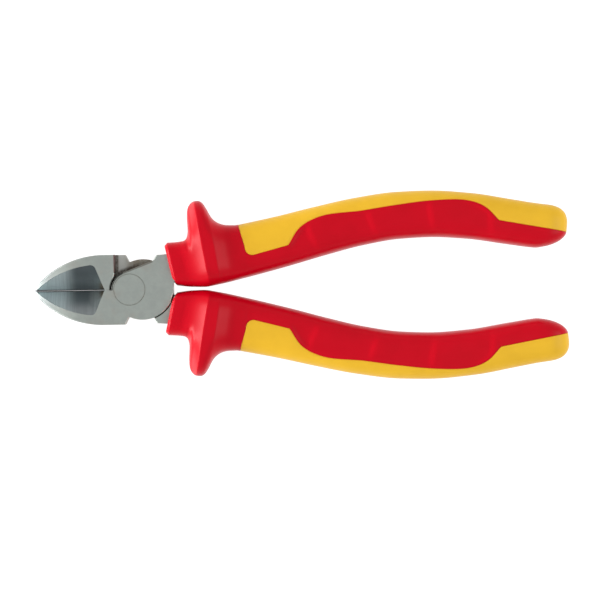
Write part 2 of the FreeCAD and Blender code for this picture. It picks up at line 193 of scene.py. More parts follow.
def station_frame(x):
    """Centreline points and the outward directions square to them, in plan."""
    step = 0.5
    inside = np.clip(x, CENTRELINE[0][0] + step, CENTRELINE[-1][0] - step)
    slope = (smooth(CENTRELINE, inside + step) - smooth(CENTRELINE, inside - step)) / (2 * step)
    length = np.hypot(1.0, slope)
    centre = np.stack([x, smooth(CENTRELINE, x)], axis=-1)
    outward = np.stack([-slope / length, 1.0 / length], axis=-1)
    return centre, outward


END_LENGTH = GRIP_END - END_ROUND_START
XI_MAX = END_ROUND_START + END_LENGTH * math.pi / 2


def round_end(xi):
    """Station and shrink factor for a distance along the handle that goes on round its end."""
    turn = np.clip((xi - END_ROUND_START) / END_LENGTH, 0.0, math.pi / 2)
    sine, cosine = np.sin(turn), np.cos(turn)
    radius = (sine ** END_ROUND_POWER + cosine ** END_ROUND_POWER) ** (-1 / END_ROUND_POWER)
    station = np.minimum(xi, END_ROUND_START) + END_LENGTH * radius * sine
    return station, radius * cosine


def rising(knots, x):
    """Like smooth, but zero outside the knots."""
    inside = (x > knots[0][0]) & (x < knots[-1][0])
    return np.where(inside, smooth(knots, x), 0.0)


def guard_up(x):
    """Height of the guard's crest over the grip: two hollow slopes up to a flat band."""
    front = np.clip((x - CREST_FOOT_FRONT) / (CREST_FRONT - CREST_FOOT_FRONT), 0.0, 1.0)
    rear = np.clip((CREST_FOOT_REAR - x) / (CREST_FOOT_REAR - CREST_REAR), 0.0, 1.0)
    return CREST_HEIGHT * np.minimum(front ** CREST_FRONT_POWER, rear ** CREST_REAR_POWER)


def half_widths(x, shrink):
    """Half sizes of the section: outwards, inwards and in thickness."""
    outer = (smooth(OUTER_HALF, x) + rising(GUARD_OUT, x)) * shrink
    inner = smooth(INNER_HALF, x) * shrink
    height = (smooth(HALF_THICKNESS, x) + guard_up(x)) * shrink
    return outer, inner, height


def skin(xi, psi):
    """Points of the upper half of the grip's surface. psi turns from 0, the outer edge, to pi."""
    x, shrink = round_end(xi)
    outer, inner, height = half_widths(x, shrink)
    cosine, sine = np.cos(psi), np.sin(psi)
    width = np.maximum(np.where(cosine > 0, outer, inner), TINY)
    height = np.maximum(height, TINY)
    power = SECTION_POWER - rising(GUARD_BEVEL, x) * np.maximum(cosine, 0.0)
    radius = ((np.abs(cosine) / width) ** power + (np.abs(sine) / height) ** power) ** (-1 / power)
    centre, outward = station_frame(x)
    plan = centre + outward * (radius * cosine)[:, None]
    return np.column_stack([plan, MID_Z + radius * sine])


def skin_normals(xi, psi):
    """Unit normals of the plain skin, taken between nearby points."""
    step = 0.03
    safe = np.minimum(xi, XI_MAX - 3 * step)
    along = skin(safe + step, psi) - skin(safe - step, psi)
    round_it = skin(safe, psi + step) - skin(safe, psi - step)
    normal = np.cross(round_it, along)
    return normal / np.linalg.norm(normal, axis=1)[:, None]


def plan_to_skin(points):
    """xi and psi on the surface over plan points, and where that exists."""
    x = points[:, 0].copy()
    for _ in range(FOOT_STEPS):
        centre, outward = station_frame(x)
        away = points - centre
        along = away[:, 0] * outward[:, 1] - away[:, 1] * outward[:, 0]
        x = x + along * outward[:, 1]
    centre, outward = station_frame(x)
    reach = np.sum((points - centre) * outward, axis=1)
    u = np.clip((x - END_ROUND_START) / END_LENGTH, 0.0, 1.0)
    shrink = (1 - u ** END_ROUND_POWER) ** (1 / END_ROUND_POWER)
    xi = np.minimum(x, END_ROUND_START) + END_LENGTH * np.arctan2(u, shrink)
    outer, inner, height = half_widths(x, shrink)
    width = np.maximum(np.where(reach > 0, outer, inner), TINY)
    share = np.abs(reach) / width
    rise = height * (1 - np.clip(share, 0, 1) ** SECTION_POWER) ** (1 / SECTION_POWER)
    return xi, np.arctan2(rise, reach), share < 1


# ---------------------------------------------------------------- detail pressed into the skin

def pad_depth(x, psi):
    """Finger pads: each starts with a short bowed rise and sinks slowly towards the next."""
    share = psi / math.pi
    bow_from, bow_to = PAD_BOW_SHARES
    local = x - PAD_BOW * np.clip((share - bow_from) / (bow_to - bow_from), 0, 1) ** 2
    last = PAD_FIRST + PAD_PITCH * (PAD_COUNT - 1)
    depth = step_up(PAD_FIRST - PAD_PITCH + PAD_RISE, PAD_FIRST, local) * (local < PAD_FIRST)
    for i in range(PAD_COUNT):
        since = local - PAD_FIRST - PAD_PITCH * i
        sinking = step_up(PAD_RISE, PAD_PITCH - PAD_REST, since) * (since < PAD_PITCH)
        climbing = (1 - step_up(0.0, PAD_RISE, since)) * (since >= 0) * (since < PAD_RISE)
        depth = np.maximum(depth, np.maximum(sinking, climbing))
    depth = depth * (1 - step_up(last + PAD_REAR_FADE[0], last + PAD_REAR_FADE[1], local))
    window = step_up(*PAD_OUTER_SHARES, share) * (1 - step_up(*PAD_INNER_SHARES, share))
    return PAD_DEPTH * depth * window * step_up(*PAD_FRONT_FADE, x)


def detail_depth(xi, psi):
    """How far the collar's chamfer and the parting seam lie under the plain skin."""
    chamfer = CHAMFER * np.clip(1 - (xi - GRIP_START) / CHAMFER, 0, 1)
    edge = np.minimum(psi, math.pi - psi) * TO_WIDTH
    seam = SEAM_DEPTH * np.clip(1 - edge / SEAM_ROWS[0], 0, 1)
    seam = seam * np.clip((XI_MAX - xi) / SEAM_END_FADE, 0, 1)
    return SKIN_INSET + chamfer + seam


def on_skin(xi, psi, depth):
    """Points at a depth under the plain skin."""
    return skin(xi, psi) - skin_normals(xi, psi) * np.asarray(depth)[:, None]


# ---------------------------------------------------------------- meshes

def boundary_line():
    """xi and psi along the line between cover and core, from the outer to the inner seam."""
    corner = arc_points(PATCH_FRONT_INNER, PATCH_CORNER, PATCH_CORNER_END)
    crest = spline_points((PATCH_WAIST,) + PANEL_CREST + (PANEL_END,))
    path = np.array([PATCH_FRONT_OUTER] + corner + crest + [PATCH_END], float)
    path = soften(resample(path, LINE_SAMPLE), LINE_ROUNDING)
    xi, psi, found = plan_to_skin(path)
    first = np.argmax(found)
    last = first + np.argmin(found[first:])
    xi, psi = xi[first:last], psi[first:last]
    psi[0], psi[-1] = 0.0, math.pi
    points = skin(xi, psi)
    length = np.concatenate(([0.0], np.cumsum(np.linalg.norm(np.diff(points, axis=0), axis=1))))
    count = round(length[-1] / LINE_STEP)
    even = np.linspace(0, length[-1], count + 1)
    return np.interp(even, length, xi), np.interp(even, length, psi)


def arc_points(start, through, end, count=16):
    """Points along the arc through three points in plan."""
    (ax, ay), (bx, by), (cx, cy) = start, through, end
    d = 2 * (ax * (by - cy) + bx * (cy - ay) + cx * (ay - by))
    a2, b2, c2 = ax * ax + ay * ay, bx * bx + by * by, cx * cx + cy * cy
    ux = (a2 * (by - cy) + b2 * (cy - ay) + c2 * (ay - by)) / d
    uy = (a2 * (cx - bx) + b2 * (ax - cx) + c2 * (bx - ax)) / d
    radius = math.hypot(ax - ux, ay - uy)
    first = math.atan2(ay - uy, ax - ux)
    last = math.atan2(cy - uy, cx - ux)
    turn = (last - first + math.pi) % (2 * math.pi) - math.pi
    angles = [first + turn * i / count for i in range(count + 1)]
    return [(ux + radius * math.cos(a), uy + radius * math.sin(a)) for a in angles]


def spline_points(points, per_span=24):
    """Points along a smooth curve through the given ones."""
    p = [Vector(q) for q in points]
    p = [2 * p[0] - p[1]] + p + [2 * p[-1] - p[-2]]
    found = []
    for i in range(1, len(p) - 2):
        for k in range(per_span):
            found.append(tuple(catmull(p[i - 1], p[i], p[i + 1], p[i + 2], k / per_span)))
    return found + [tuple(p[-2])]


def catmull(a, b, c, d, u):
    """Centripetal Catmull-Rom point between b and c."""
    t1 = math.sqrt((b - a).length)
    t2 = t1 + math.sqrt((c - b).length)
    t3 = t2 + math.sqrt((d - c).length)
    t = t1 + (t2 - t1) * u
    ab = a.lerp(b, t / t1)
    bc = b.lerp(c, (t - t1) / (t2 - t1))
    cd = c.lerp(d, (t - t2) / (t3 - t2))
    abc = ab.lerp(bc, t / t2)
    bcd = bc.lerp(cd, (t - t1) / (t3 - t1))
    return abc.lerp(bcd, (t - t1) / (t2 - t1))


def resample(path, step):
    """The same path with even steps."""
    length = np.concatenate(([0.0], np.cumsum(np.linalg.norm(np.diff(path, axis=0), axis=1))))
    even = np.linspace(0, length[-1], round(length[-1] / step) + 1)
    return np.column_stack([np.interp(even, length, path[:, k]) for k in (0, 1)])


def soften(path, reach):
    """Rounds the corners of an evenly sampled path, over reach samples each side."""
    weights = np.hanning(2 * reach + 1)
    weights = weights / weights.sum()
    before = np.repeat(path[:1], reach, axis=0)
    after = np.repeat(path[-1:], reach, axis=0)
    padded = np.concatenate([before, path, after])
    columns = [np.convolve(padded[:, k], weights, mode="valid") for k in (0, 1)]
    return np.column_stack(columns)


def shifted(xi, psi, distance):
    """The line moved along the surface, to the cover's side for a positive distance."""
    step = 0.02
    along_xi = (skin(xi + step, psi) - skin(xi - step, psi)) / (2 * step)
    along_psi = (skin(xi, psi + step) - skin(xi, psi - step)) / (2 * step)
    points = skin(xi, psi)
    tangent = np.gradient(points, axis=0)
    sideways = np.cross(tangent, skin_normals(xi, psi))
    sideways = sideways / np.linalg.norm(sideways, axis=1)[:, None] * distance
    g11 = np.sum(along_xi * along_xi, axis=1)
    g12 = np.sum(along_xi * along_psi, axis=1)
    g22 = np.sum(along_psi * along_psi, axis=1)
    r1 = np.sum(along_xi * sideways, axis=1)
    r2 = np.sum(along_psi * sideways, axis=1)
    det = g11 * g22 - g12 * g12
    moved_xi = xi + (g22 * r1 - g12 * r2) / det
    moved_psi = psi + (g11 * r2 - g12 * r1) / det
    moved_psi[0], moved_psi[-1] = 0.0, math.pi
    return moved_xi, moved_psi


def rim_depth(distance, radius):
    """Depth of a rounded rim at a distance from the line."""
    return radius - np.sqrt(np.maximum(radius ** 2 - (radius - distance) ** 2, 0.0))


def grid_lines(fine):
    """Stations and columns of the mesh: close together where it shows, wide apart where hidden."""
    if not fine:
        stations = np.arange(GRIP_START, XI_MAX - 1, HIDDEN_STEP)
        return stations, np.arange(HIDDEN_STEP, UNROLLED_WIDTH - 1, HIDDEN_STEP)
    lead = GRIP_START + np.linspace(0, CHAMFER, 4)
    guard = np.concatenate([np.arange(*span) for span in GUARD_SPANS])
    for crest in (CREST_FRONT, CREST_REAR):
        guard = np.append(guard[np.abs(guard - crest) > CREST_MARGIN], crest)
    count = round((XI_MAX - GUARD_MESH_END) / GRID_STEP)
    rest = np.linspace(GUARD_MESH_END, XI_MAX, count + 1)
    count = round((UNROLLED_WIDTH - 2 * SEAM_MARGIN) / GRID_STEP)
    columns = np.linspace(SEAM_MARGIN, UNROLLED_WIDTH - SEAM_MARGIN, count + 1)
    near = np.array(SEAM_ROWS)
    stations = np.unique(np.concatenate([lead, guard, rest]))
    return stations, np.concatenate([near, columns, UNROLLED_WIDTH - near[::-1]])


def row_ends(rows):
    """Where the rows along the line meet the outer seam, rising, and the inner seam, falling."""
    fronts = sorted(row[0][0] for row in rows)
    rears = sorted((row[0][-1] for row in rows), reverse=True)
    return fronts, rears


def cover_outline(line, rows, stations, columns, start, gap):
    """Corners round the cover's side of the line, in the unrolled plane."""
    fronts, rears = row_ends(rows)
    outer_seam = stations[stations < min([line[0][0]] + fronts) - gap]
    inner_seam = stations[stations < min([line[0][-1]] + rears) - gap]
    corners = [(start, 0.0)] + [(x, 0.0) for x in outer_seam]
    corners += [(x, 0.0) for x in fronts]
    corners += list(zip(line[0], line[1] * TO_WIDTH))
    corners += [(x, UNROLLED_WIDTH) for x in rears]
    corners += [(x, UNROLLED_WIDTH) for x in inner_seam[::-1]]
    corners += [(start, UNROLLED_WIDTH)]
    return corners + [(start, w) for w in columns[::-1]]


def core_outline(line, rows, stations, columns, gap):
    """Corners round the core's side of the line, in the unrolled plane."""
    fronts, rears = row_ends(rows)
    stations = stations[stations < XI_MAX - NEAR]
    outer_seam = stations[stations > max([line[0][0]] + fronts) + gap]
    inner_seam = stations[stations > max([line[0][-1]] + rears) + gap]
    corners = list(zip(line[0], line[1] * TO_WIDTH))[::-1]
    corners += [(x, 0.0) for x in fronts]
    corners += [(x, 0.0) for x in outer_seam] + [(XI_MAX, 0.0)]
    corners += [(XI_MAX, w) for w in columns] + [(XI_MAX, UNROLLED_WIDTH)]
    corners += [(x, UNROLLED_WIDTH) for x in inner_seam[::-1]]
    return corners + [(x, UNROLLED_WIDTH) for x in rears]


def surface(corners, line, rows, stations, columns, depth_of):
    """Points and faces inside the corners, cut up in the unrolled plane and put at their depth."""
    tree = KDTree(len(line[0]))
    for i, (x, psi) in enumerate(zip(*line)):
        tree.insert((x, psi * TO_WIDTH, 0), i)
    tree.balance()
    margin = max(RIM_ROWS) + RIM_MARGIN if rows else LINE_STEP
    points = [Vector(p) for p in corners]
    for row_xi, row_psi in rows:
        points += [Vector((x, psi * TO_WIDTH)) for x, psi in zip(row_xi[1:-1], row_psi[1:-1])]
    for x in stations[stations < XI_MAX - NEAR]:
        for w in columns:
            if tree.find((x, w, 0))[2] > margin:
                points.append(Vector((x, w)))
    outline = [list(range(len(corners)))]
    flat, _, faces, _, _, sources = delaunay_2d_cdt(points, [], outline, 1, TINY, True)
    faces = [face for face, source in zip(faces, sources) if source]
    plane = np.array([tuple(p) for p in flat])
    xi, psi = plane[:, 0], plane[:, 1] / TO_WIDTH
    distance = np.array([tree.find((x, w, 0))[2] for x, w in plane])
    return on_skin(xi, psi, depth_of(xi, psi, distance)), faces


def row_across(station, fine, depth_of):
    """Points across the handle at a station, from its outer to its inner edge."""
    _, columns = grid_lines(fine)
    psi = np.concatenate([[0.0], columns, [UNROLLED_WIDTH]]) / TO_WIDTH
    xi = np.full_like(psi, station)
    return on_skin(xi, psi, depth_of(xi, psi, np.full_like(xi, RIM_RADIUS)))


class Builder:
    """Collects points and faces of the upper half, then closes them with their mirror image."""

    def __init__(self):
        self.points, self.faces = [], []

    def add(self, points, faces):
        """Takes in points and the faces that number them."""
        base = len(self.points)
        self.points += [tuple(p) for p in points]
        self.faces += [[i + base for i in f] for f in faces]

    def strip(self, first, second):
        """Wall between two rows of points."""
        count = len(first)
        faces = [(i, i + 1, count + i + 1, count + i) for i in range(count - 1)]
        self.add(list(first) + list(second), faces)

    def fan(self, rim):
        """Flat end inside a row of points."""
        middle = (rim[0] + rim[-1]) / 2
        self.add(list(rim) + [middle], [(i, i + 1, len(rim)) for i in range(len(rim) - 1)])

    def inside(self, edge, outer_depth, depth):
        """Hidden side of a grip piece: a wall along the line, an inner face and its flat start."""
        def even_depth(xi, psi, distance):
            return np.full_like(xi, depth)

        stations, columns = grid_lines(False)
        stations = stations[stations > COVER_SOLID_END + NEAR]
        corners = cover_outline(edge, [], stations, columns, COVER_SOLID_END, HIDDEN_SEAM_GAP)
        self.add(*surface(corners, edge, [], stations, columns, even_depth))
        at_line = np.zeros(len(edge[0]))
        top = on_skin(*edge, outer_depth(*edge, at_line))
        self.strip(top, on_skin(*edge, even_depth(*edge, at_line)))
        self.fan(row_across(COVER_SOLID_END, False, even_depth))

    def mesh(self, name):
        """The finished mesh, in metres."""
        count = len(self.points)
        mirrored = [(x, y, 2 * MID_Z - z) for x, y, z in self.points]
        points = [Vector(p) * MM for p in self.points + mirrored]
        faces = self.faces + [[i + count for i in reversed(f)] for f in self.faces]
        mesh = bpy.data.meshes.new(name)
        mesh.from_pydata(points, [], faces)
        work = bmesh.new()
        work.from_mesh(mesh)
        bmesh.ops.remove_doubles(work, verts=work.verts, dist=MERGE_DISTANCE * MM)
        bmesh.ops.dissolve_degenerate(work, edges=work.edges, dist=SLIVER_LENGTH * MM)
        bmesh.ops.recalc_face_normals(work, faces=work.faces)
        bmesh.ops.join_triangles(
            work, faces=work.faces, angle_face_threshold=0.25, angle_shape_threshold=0.35)
        open_edges = sum(1 for e in work.edges if not e.is_manifold)
        print(name, "faces", len(work.faces), "open or shared edges", open_edges)
        for face in work.faces:
            face.smooth = True
        work.to_mesh(mesh)
        work.free()
        return mesh


def cover_mesh(line):
    """The red cover: the skin in front of the line, its hidden side, and a flat collar in front."""
    edge = shifted(*line, HALF_GAP)
    rows = [shifted(*line, HALF_GAP + d) for d in RIM_ROWS]

    def outer_depth(xi, psi, distance):
        station, _ = round_end(xi)
        pads = pad_depth(station, psi) * step_up(0.0, PAD_EDGE_FADE, distance)
        rim = rim_depth(np.minimum(distance, RIM_RADIUS), RIM_RADIUS)
        return detail_depth(xi, psi) + pads + rim

    stations, columns = grid_lines(True)
    stations = stations[stations > GRIP_START + NEAR]
    corners = cover_outline(edge, rows, stations, columns, GRIP_START, SEAM_GAP)
    builder = Builder()
    builder.add(*surface(corners, edge, rows, stations, columns, outer_depth))
    builder.inside(edge, outer_depth, COVER_DEPTH)
    builder.fan(row_across(GRIP_START, True, outer_depth))
    return builder.mesh("grip_cover_mesh")


def core_mesh(line):
    """The yellow core: the part that shows, a wall along the line, and the rest under the cover."""
    edge = shifted(*line, -HALF_GAP)
    rows = [shifted(*line, -HALF_GAP - d) for d in RIM_ROWS]

    def outer_depth(xi, psi, distance):
        rim = rim_depth(np.minimum(distance, RIM_RADIUS), RIM_RADIUS)
        return CORE_SINK + detail_depth(xi, psi) + rim

    stations, columns = grid_lines(True)
    corners = core_outline(edge, rows, stations, columns, SEAM_GAP)
    builder = Builder()
    builder.add(*surface(corners, edge, rows, stations, columns, outer_depth))
    builder.inside(edge, outer_depth, CORE_DEPTH)
    return builder.mesh("grip_core_mesh")


# ---------------------------------------------------------------- materials

# Places on the head, in metres. X is negative towards the nose, and Y is 0 on the cutting edges.
LAP_TURN = (-0.0021, 0.0057)     # where the lap plate's edge leaves the rivet and runs straight
LAP_SLANT = math.radians(20.7)   # of that straight stretch
LAP_EDGE_RADIUS = 0.0062         # of the stretch round the rivet
LAP_EDGE_END_X = 0.0079
POCKET_WIDEST_X = -0.013
POCKET_HALF_WIDTH = 0.0089
POCKET_CURVE = 24.7              # per metre, how its half width falls off towards both ends
POCKET_HEEL_X = -0.0082
POCKET_LOWEST_Z = 0.0033
POCKET_STEEPNESS = 0.45          # least sideways part of the normal on a ground slope
# half width and end of the dark line painted along the closed cutting edges
CUT_GAP_SHADE_HALF_WIDTH = 0.0004
CUT_GAP_SHADE_HEEL_X = -0.0083
STEP_SLACK = 0.0002              # a face this near the middle height is one of the lap's steps
SHOULDER_Y = 0.0056

# Colours
RED = (0.66, 0.0, 0.012, 1.0)
RED_SHADE = (0.63, 0.0, 0.011, 1.0)
YELLOW = (0.95, 0.55, 0.030, 1.0)
YELLOW_SHADE = (0.91, 0.52, 0.028, 1.0)
STEEL_PALE = (0.54, 0.59, 0.545, 1.0)
STEEL_DULL = (0.49, 0.535, 0.50, 1.0)
STEEL_WARM = (0.52, 0.51, 0.46, 1.0)
# painted shade for the nose and for slanted faces
STEEL_NOSE_PAINTED_SHADE = (0.26, 0.285, 0.28, 1.0)
STEEL_SLANTED_PAINTED_SHADE = (0.14, 0.155, 0.155, 1.0)
STEEL_STEP = (0.72, 0.74, 0.69, 1.0)
# painted shade for the gap between the closed cutting edges
CUT_GAP_PAINTED_SHADE = (0.10, 0.108, 0.112, 1.0)
# painted reflection and shade on the ground pockets, paler towards the nose and on the lower jaw
GROUND_PAINTED_LIGHT_NOSE = (0.66, 0.745, 0.755, 1.0)
GROUND_PAINTED_SHADE_MIDDLE = (0.225, 0.26, 0.272, 1.0)
GROUND_PAINTED_LIGHT_LOWER = (0.41, 0.44, 0.45, 1.0)
GROUND_PAINTED_SHADE_UPPER = (0.14, 0.165, 0.175, 1.0)
GROUND_STREAK = (0.16, 0.19, 0.20, 1.0)
# painted shade, brown, and a painted shadow for the pockets' heel
GROUND_PAINTED_SHADE_HEEL = (0.20, 0.165, 0.12, 1.0)
HEEL_PAINTED_SHADOW = (0.03, 0.03, 0.025, 1.0)
OIL = (0.36, 0.315, 0.25, 1.0)
# old oil mixed with painted shade
OLD_OIL_AND_PAINTED_SHADE = (0.085, 0.065, 0.05, 1.0)
# painted shade on the lap plates' edges, mixed with grime on the straight stretch
LAP_EDGE_GRIME_AND_SHADE = (0.15, 0.14, 0.115, 1.0)
LAP_ARC_PAINTED_SHADE = (0.03, 0.028, 0.024, 1.0)
# painted shade for the jaw's shoulder
SHOULDER_PAINTED_SHADE = (0.11, 0.055, 0.05, 1.0)
RIVET_STAIN = (0.30, 0.25, 0.17, 1.0)


class Nodes:
    """A material's node tree with short ways to add and join nodes."""

    def __init__(self, name):
        self.material = bpy.data.materials.new(name)
        self.material.use_nodes = True
        self.tree = self.material.node_tree
        self.shader = self.tree.nodes["Principled BSDF"]
        coordinates = self.tree.nodes.new("ShaderNodeTexCoord")
        self.place = coordinates.outputs["Object"]
        self.facing = coordinates.outputs["Normal"]

    def new(self, kind, inputs=None, **settings):
        """Adds a node; an input is a value or another node's output."""
        node = self.tree.nodes.new(kind)
        for key, value in settings.items():
            setattr(node, key, value)
        for key, value in (inputs or {}).items():
            self.put(node.inputs[key], value)
        return node

    def put(self, socket, value):
        if isinstance(value, bpy.types.NodeSocket):
            self.tree.links.new(value, socket)
        else:
            socket.default_value = value

    def noise(self, scale, detail=2.0, roughness=0.5, vector=None):
        node = self.new("ShaderNodeTexNoise", {
            "Scale": scale, "Detail": detail, "Roughness": roughness,
            "Vector": self.place if vector is None else vector})
        return node.outputs["Fac"]

    def ramp(self, value, low, high, to_low=0.0, to_high=1.0):
        """to_low below low, to_high above high, smooth between."""
        node = self.new("ShaderNodeMapRange", {
            "Value": value, "From Min": low, "From Max": high, "To Min": to_low, "To Max": to_high},
            interpolation_type="SMOOTHSTEP")
        return node.outputs["Result"]

    def math(self, operation, a, b=0.0, c=0.0):
        return self.new("ShaderNodeMath", {0: a, 1: b, 2: c}, operation=operation).outputs[0]

    def mix(self, share, a, b):
        """Colour a where share is 0, b where it is 1."""
        node = self.new("ShaderNodeMix", data_type="RGBA")
        self.put(node.inputs["Factor"], share)
        self.put(node.inputs["A"], a)
        self.put(node.inputs["B"], b)
        return node.outputs["Result"]

    def squeezed(self, scale):
        """Coordinates scaled apart, for streaks and scratches."""
        node = self.new("ShaderNodeMapping", {"Vector": self.place, "Scale": scale})
        return node.outputs["Vector"]

    def bump(self, height, distance, strength=1.0, normal=None):
        node = self.new("ShaderNodeBump", {
            "Height": height, "Distance": distance, "Strength": strength})
        if normal is not None:
            self.put(node.inputs["Normal"], normal)
        return node.outputs["Normal"]


def plastic(name, colour, shade, roughness, specular):
    """Moulded plastic: fine satin grain, faint mottling, and slightly smoother worn spots."""
    n = Nodes(name)
    mottling = n.noise(160.0, 3.0)
    # in the plastic this marks worn spots only, which are smoother
    wear_and_shade = n.ramp(n.noise(45.0, 4.0, 0.6), 0.55, 0.75)
    base = n.mix(n.ramp(mottling, 0.35, 0.7), colour, shade)
    n.put(n.shader.inputs["Base Color"], base)
    grain = n.noise(9000.0, 3.0, 0.6)
    spread = 0.10
    rough = n.math("ADD", n.math("MULTIPLY", grain, spread), roughness - spread / 2)
    rough = n.math("SUBTRACT", rough, n.math("MULTIPLY", wear_and_shade, 0.06))
    n.put(n.shader.inputs["Roughness"], rough)
    n.shader.inputs["Specular IOR Level"].default_value = specular
    soft = n.bump(n.noise(700.0, 2.0), 0.00003, 0.3)
    n.put(n.shader.inputs["Normal"], n.bump(grain, 0.00001, 0.35, soft))
    return n.material


def both(n, *shares):
    """1 only where every share is 1."""
    product = shares[0]
    for share in shares[1:]:
        product = n.math("MULTIPLY", product, share)
    return product


def pocket_mask(n, x, y, z):
    """1 on the ground slopes beside the cutting edges, 0 elsewhere."""
    normal = n.new("ShaderNodeSeparateXYZ", {"Vector": n.facing})
    sideways = n.math("GREATER_THAN", n.math("ABSOLUTE", normal.outputs["Y"]), POCKET_STEEPNESS)
    above = n.math("GREATER_THAN", z, POCKET_LOWEST_Z)
    from_widest = n.math("SUBTRACT", x, POCKET_WIDEST_X)
    squared = n.math("MULTIPLY", from_widest, from_widest)
    half_width = n.math("MULTIPLY_ADD", squared, -POCKET_CURVE, POCKET_HALF_WIDTH)
    inside = n.math("LESS_THAN", n.math("ABSOLUTE", y), half_width)
    return both(n, sideways, above, inside, n.math("LESS_THAN", x, POCKET_HEEL_X))


def ground_colour(n, x, y):
    """Hollow-ground slopes whose colour holds painted reflection and shade: pale towards the nose,
    dark in the middle, with a brown painted shade and a painted shadow at the heel; the streaks are
    grinding marks.
    """
    outward = n.math("ABSOLUTE", y)
    lower = n.math("LESS_THAN", y, 0.0)
    upper = n.math("GREATER_THAN", y, 0.0)
    # painted shade and reflection: darker in the middle, paler on the lower jaw and darker on the
    # upper jaw's outer part
    painted_lighter = n.math("MAXIMUM", n.ramp(x, -0.0145, -0.0125, 0.0, 0.7), n.ramp(outward, 0.003, 0.0068))
    middle = n.mix(both(n, painted_lighter, lower), GROUND_PAINTED_SHADE_MIDDLE, GROUND_PAINTED_LIGHT_LOWER)
    middle = n.mix(both(n, n.ramp(outward, 0.0025, 0.006), upper), middle, GROUND_PAINTED_SHADE_UPPER)
    # painted reflection: pale towards the nose
    colour = n.mix(n.ramp(x, -0.0235, -0.0175), GROUND_PAINTED_LIGHT_NOSE, middle)
    streaks = n.noise(1.0, 4.0, 0.6, n.squeezed((1800.0, 40.0, 40.0)))
    colour = n.mix(n.ramp(streaks, 0.3, 0.7, 0.0, 0.28), colour, GROUND_STREAK)
    # painted shade, brown, towards the heel
    heel_shade = both(n, n.ramp(x, -0.0112, -0.0093), n.ramp(outward, 0.0016, 0.0034, 0.9, 0.0))
    colour = n.mix(heel_shade, colour, GROUND_PAINTED_SHADE_HEEL)
    # painted shadow, near black, at the heel's end wall
    heel_end_shadow = both(n, n.ramp(x, -0.0094, -0.0088), n.ramp(outward, 0.0006, 0.0014, 1.0, 0.0))
    return n.mix(heel_end_shadow, colour, HEEL_PAINTED_SHADOW)


def beyond_lap(n, x, y, side):
    """Distance past a lap plate's straight edge; side is 1 seen from the front, -1 from behind."""
    across = n.math("MULTIPLY", y, side)
    shift = math.sin(LAP_SLANT) * LAP_TURN[0] - math.cos(LAP_SLANT) * LAP_TURN[1]
    along_x = n.math("MULTIPLY_ADD", x, -math.sin(LAP_SLANT), shift)
    return n.math("MULTIPLY_ADD", across, math.cos(LAP_SLANT), along_x)


def recess_oil_and_shade(n, x, y, z, base):
    """Paler steel and patches of oil on the two steps beside the rivet, with old oil and painted
    shade darkest along the lap's edge, and a painted shadow at the foot of the jaw's shoulder.
    """
    from_middle = n.math("SUBTRACT", z, MID_Z * MM)
    on_step = n.math("LESS_THAN", n.math("ABSOLUTE", from_middle), STEP_SLACK)
    side = n.math("MULTIPLY", n.math("SIGN", from_middle), -1.0)
    beyond = beyond_lap(n, x, y, side)
    patchy = n.ramp(n.noise(900.0, 3.0, 0.6), 0.3, 0.7, 0.65, 1.0)
    base = n.mix(on_step, base, STEEL_STEP)
    base = n.mix(both(n, on_step, n.ramp(x, -0.0030, 0.0012), patchy), base, OIL)
    # painted shade mixed with old oil, in a band beside the lap's overhanging edge
    along = both(n, n.ramp(beyond, 0.0006, 0.0018, 1.0, 0.0), n.ramp(x, 0.0005, 0.0055, 1.0, 0.25))
    # painted shadow at the foot of the jaw's shoulder, in the old oil's colour
    shoulder_foot_shadow = n.ramp(x, -0.0043, -0.0035, 0.9, 0.0)
    oil_and_shade = n.math("MAXIMUM", along, shoulder_foot_shadow)
    return n.mix(both(n, on_step, oil_and_shade, patchy), base, OLD_OIL_AND_PAINTED_SHADE)


def lap_edge_grime_and_shade(n, x, y, z, radius, base):
    """Painted shade on the broken edge of each lap plate, where it runs round the rivet and on past
    it, which hides the edge's highlight; the straight stretch also has brownish grime.
    """
    side = n.math("SIGN", n.math("SUBTRACT", z, MID_Z * MM))
    from_edge = n.math("ABSOLUTE", beyond_lap(n, x, y, side))
    past_turn = n.math("GREATER_THAN", x, LAP_TURN[0])
    before_end = n.math("LESS_THAN", x, LAP_EDGE_END_X)
    # painted shade with brownish grime along the straight stretch, over the edge's highlight
    straight = both(n, n.ramp(from_edge, 0.0003, 0.0006, 0.75, 0.0), past_turn, before_end)
    base = n.mix(straight, base, LAP_EDGE_GRIME_AND_SHADE)
    from_arc = n.math("ABSOLUTE", n.math("SUBTRACT", radius, LAP_EDGE_RADIUS))
    on_side = n.math("GREATER_THAN", n.math("MULTIPLY", y, side), -STEP_SLACK)
    before_turn = n.math("LESS_THAN", x, LAP_TURN[0])
    # painted shade, near black, on the edge round the rivet, over its highlight
    arc = both(n, n.ramp(from_arc, 0.0005, 0.0007, 0.9, 0.0), before_turn, on_side)
    return n.mix(arc, base, LAP_ARC_PAINTED_SHADE)


def shaded_shoulder(n, x, y, z, base):
    """Dark reddish painted shade down the jaw's shoulder, where it stands over the recess."""
    side = n.math("SIGN", n.math("SUBTRACT", z, MID_Z * MM))
    to_wall = n.ramp(x, -0.0053, -0.0051, 0.0, 0.9)
    past_wall = n.ramp(x, -0.0042, -0.0037, 1.0, 0.0)
    past_rivet = n.math("GREATER_THAN", n.math("MULTIPLY", y, side), SHOULDER_Y)
    # painted shade on the shoulder's wall and its rounded edge
    return n.mix(both(n, to_wall, past_wall, past_rivet), base, SHOULDER_PAINTED_SHADE)


